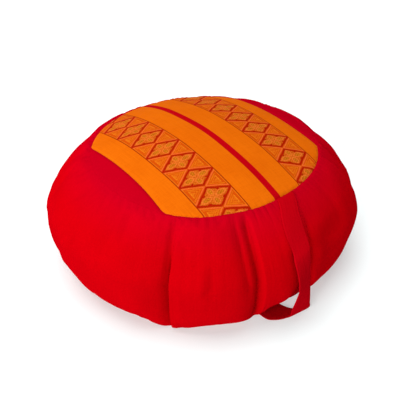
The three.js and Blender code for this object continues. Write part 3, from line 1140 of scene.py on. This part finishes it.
def woven_cotton():
    """The woven band: an orange ground with a red middle stripe and a row of diamonds each side."""
    material = new_material("woven_cotton", {"Specular IOR Level": 0.01})
    x, y = flat_places(material.node_tree)
    half = abs(y)
    middle = (DIAMONDS_FROM + DIAMONDS_TO) / 2
    reach = (DIAMONDS_TO - DIAMONDS_FROM) / 2
    from_middle = abs(half - middle)
    row = x + PITCH_START + y * PITCH_SKEW

    # Along the row 0 is a diamond's middle and 1 is half way to the next; across it 1 is the border.
    across = abs(half.snap(WEFT_STEP) + WEFT_STEP / 2 - middle) / reach
    along = row.snap(WARP_STEP).wave(PITCH)
    inside = from_middle.below(reach, 0.15 * MM)
    diamond = along / DIAMOND_LENGTH + across
    slant = along / DIAMOND_LENGTH - across
    tooth = slant.near(0.0, 0.11, 0.02) * diamond.near(0.8, 0.1, 0.02)
    mark = diamond.near(0.965, 0.1, 0.02).most(tooth)
    within = diamond.below(0.86, 0.02)

    # The four petals: each a light rim round a darker, beaded heart.
    smooth_along = row.wave(PITCH) * (PITCH / 2)
    beads = (slant.wave(BEAD) * diamond.wave(BEAD)).power(0.7)
    flower = petal(smooth_along, from_middle, PETAL_ALONG)
    flower = flower.least(petal(from_middle, smooth_along, PETAL_ACROSS))
    rims = flower.near(0.72, 0.16, 0.1) * within
    hearts = flower.below(0.6, 0.08) * within

    # The half triangles between the diamonds, in rows that follow their sides.
    lattice = along + across / 1.1
    outside = lattice.above(1.1, 0.01) * inside
    level = ((lattice - 1.0) / 0.0755).least((1 - across) * (reach / MM))
    rows = level.wave(2.1).above(0.5, 0.2) * (0.45 + beads * 0.55) * outside
    light_line = lattice.near(1.05, 0.04, 0.025) * inside
    tip = across.above(0.8, 0.05) * diamond.below(0.9, 0.04) * inside
    edge_line = from_middle.near(reach, BORDER_LINE, 0.15 * MM)
    stripe = half.below(STRIPE_HALF, 0.2 * MM)

    streaks = grain(x, y, 25, 900, detail=2)
    patches = grain(x, y, 18, 18, detail=2)
    slub = grain(x, y, 900, 60, detail=1)
    tone = streaks.above(0.5, 0.2) * 0.4 + patches.above(0.5, 0.2) * 0.3 + slub.above(0.6, 0.1) * 0.3
    layers = (
        (inside, dyes(tone, "#e65808", "#d24802")),
        (rows, dyed("#fb8a1a")),
        (within, dyes(beads, "#cc4a08", "#fb8a24")),
        (hearts, dyes(beads, "#b84e04", "#fb9c22")),
        (rims, dyes(beads, "#e8641c", "#ff8e34")),
        (light_line, dyed("#ff7030")),
        (tip, dyed("#ff6436")),
        (edge_line, dyed("#b43606")),
        (mark * inside, dyed("#bc1e02")),
        (stripe, dyes(tone, "#d20212", "#bf020f")),
    )
    figured = dyes(tone, "#fa7709", "#eb6603")
    for share, colour in layers:
        figured = mix(share, figured, colour)

    ribs = x.wave(RIB_ALONG) * 0.25 + y.wave(RIB_ACROSS) * 0.12
    raised = (mark * 0.6 + rows * 0.3 + rims * 0.35 + hearts * beads * 0.3 + light_line * 0.2) * inside
    return finished(material, figured, ribs + raised + edge_line * 0.3 + streaks * 0.15)


def studio_white():
    """A white sweep, bright by itself so that shadows stay faint."""
    looks = {
        "Specular IOR Level": 0.1,
        "Base Color": (0.55, 0.58, 0.58, 1.0),
        "Emission Color": (0.9, 1.0, 1.0, 1.0),
        "Emission Strength": 0.46,
    }
    return new_material("floor_white", looks)


# ------ camera, floor and lights

def camera():
    data = bpy.data.cameras.new("camera")
    data.lens = CAMERA_LENS
    obj = placed("camera", data)
    obj.location = CAMERA_PLACE
    way = Vector(CAMERA_TARGET) - obj.location
    obj.rotation_euler = way.to_track_quat("-Z", "Y").to_euler()
    bpy.context.scene.camera = obj


def floor(material):
    ends = [-FLOOR_HALF, FLOOR_HALF]
    x, y = np.meshgrid(ends, ends)
    grid = np.dstack([x, y, np.full_like(x, FLOOR_HEIGHT)])
    shell = Shell()
    shell.quads(shell.add(grid), grid[..., :2])
    obj = placed("floor", shell.mesh("floor"))
    obj.data.materials.append(material)


def sun(name, angle, elevation, softness, strength):
    """A soft light from far away; strength 1 lights a surface that faces it to its own colour."""
    data = bpy.data.lights.new(name, "SUN")
    data.energy = strength * math.pi
    data.angle = math.radians(softness)
    rise = math.radians(elevation)
    way = Vector(polar(angle, math.cos(rise), math.sin(rise)))
    placed(name, data).rotation_euler = way.to_track_quat("Z", "Y").to_euler()


def lights():
    """A white horizon that darkens upwards, a low key light and a wide one from above."""
    world = bpy.data.worlds.new("studio")
    world.use_nodes = True
    tree = world.node_tree
    place = tree.nodes.new("ShaderNodeTexCoord")
    height = separate(tree, place.outputs["Generated"])[2]
    low = height.below(HORIZON, HORIZON_FADE)
    sky = mix(low, (CEILING, CEILING, CEILING, 1.0), (1.0, 1.0, 1.0, 1.0))
    feed(tree.nodes["Background"].inputs["Color"], sky)
    bpy.context.scene.world = world
    sun("key", angle=-71, elevation=19, softness=32, strength=0.77)
    sun("top", angle=198, elevation=77, softness=56, strength=0.99)
    view = bpy.context.scene.view_settings
    view.view_transform = "Standard"
    view.look = "None"


# ------ the scene

camera()
side_red = cotton("side_red", "#d4000b", "#c80009", "#ff0040", SEAM_PAINTED_SHADE)
# Crimson and a little darker than the side's red: a painted tint of the light from above on the
# up-facing segments. The disc shares it.
segment_red_painted_tint = cotton("segment_red_painted_tint", "#cb001c", "#c3001a", "#ff0050")
handle_red = cotton("handle_red", "#cc0213", "#c10210", "#ff0040")

FILLED = filled_wall()
cushion_body(side_red)
woven_panel(woven_cotton())
top_segment("segment_left", -1, segment_red_painted_tint)
top_segment("segment_right", 1, segment_red_painted_tint)
bottom_disc(segment_red_painted_tint)
handle_strip(handle_red)

floor(studio_white())
lights()
